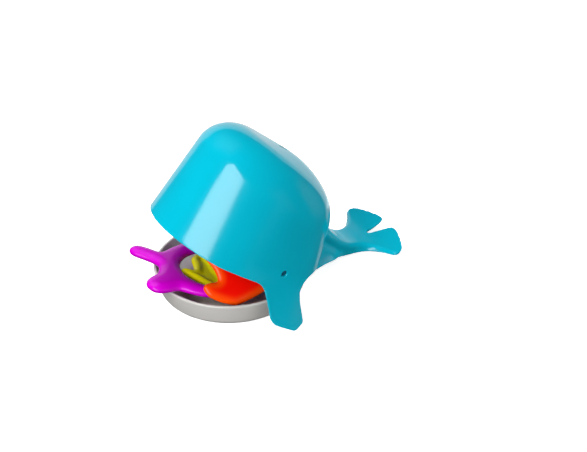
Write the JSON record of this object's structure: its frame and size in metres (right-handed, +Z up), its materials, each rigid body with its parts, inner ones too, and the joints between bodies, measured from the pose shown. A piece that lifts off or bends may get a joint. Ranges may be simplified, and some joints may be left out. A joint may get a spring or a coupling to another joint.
{
  "type": "whale scoop bath toy",
  "caption": "Whale-shaped bath scoop: an upturned cup head with flippers and flukes hinges at the eyes over a round jaw tray and closes over loose fish.",
  "frame": {"origin": "centre of the flat underside of the jaw tray", "axes": "+X towards the tail, +Y to the whale's right, +Z up"},
  "size_m": [0.2248, 0.163, 0.135],
  "materials": {
    "white_plastic": "satin moulded",
    "blue_plastic": "gloss moulded",
    "purple_plastic": "satin moulded",
    "yellow_plastic": "satin moulded",
    "orange_plastic": "satin moulded"
  },
  "bodies": {
    "jaw": {"lower_jaw": "white_plastic"},
    "head": {"whale_head": "blue_plastic", "hinge_pin_left": "blue_plastic", "hinge_pin_right": "blue_plastic"},
    "ring_fish": {"ring_fish": "purple_plastic"},
    "fork_fish": {"fork_fish": "yellow_plastic"},
    "fan_fish": {"fan_fish": "orange_plastic"}
  },
  "joints": [
    {"name": "mouth", "type": "hinge", "parent": "jaw", "child": "head", "pos_m": [0.0175, 0, 0.0388], "axis": [0, 1, 0], "range_deg": [-28, 0]},
    {"name": "ring_fish_out", "type": "slide", "parent": "jaw", "child": "ring_fish", "axis": [-0.9455, 0, 0.3256], "range_m": [0, 0.13]},
    {"name": "fork_fish_up", "type": "slide", "parent": "ring_fish", "child": "fork_fish", "axis": [0, 0, 1], "range_m": [0, 0.016]},
    {"name": "fan_fish_out", "type": "slide", "parent": "fork_fish", "child": "fan_fish", "axis": [-0.9004, 0.3101, 0.3051], "range_m": [0, 0.13]}
  ]
}
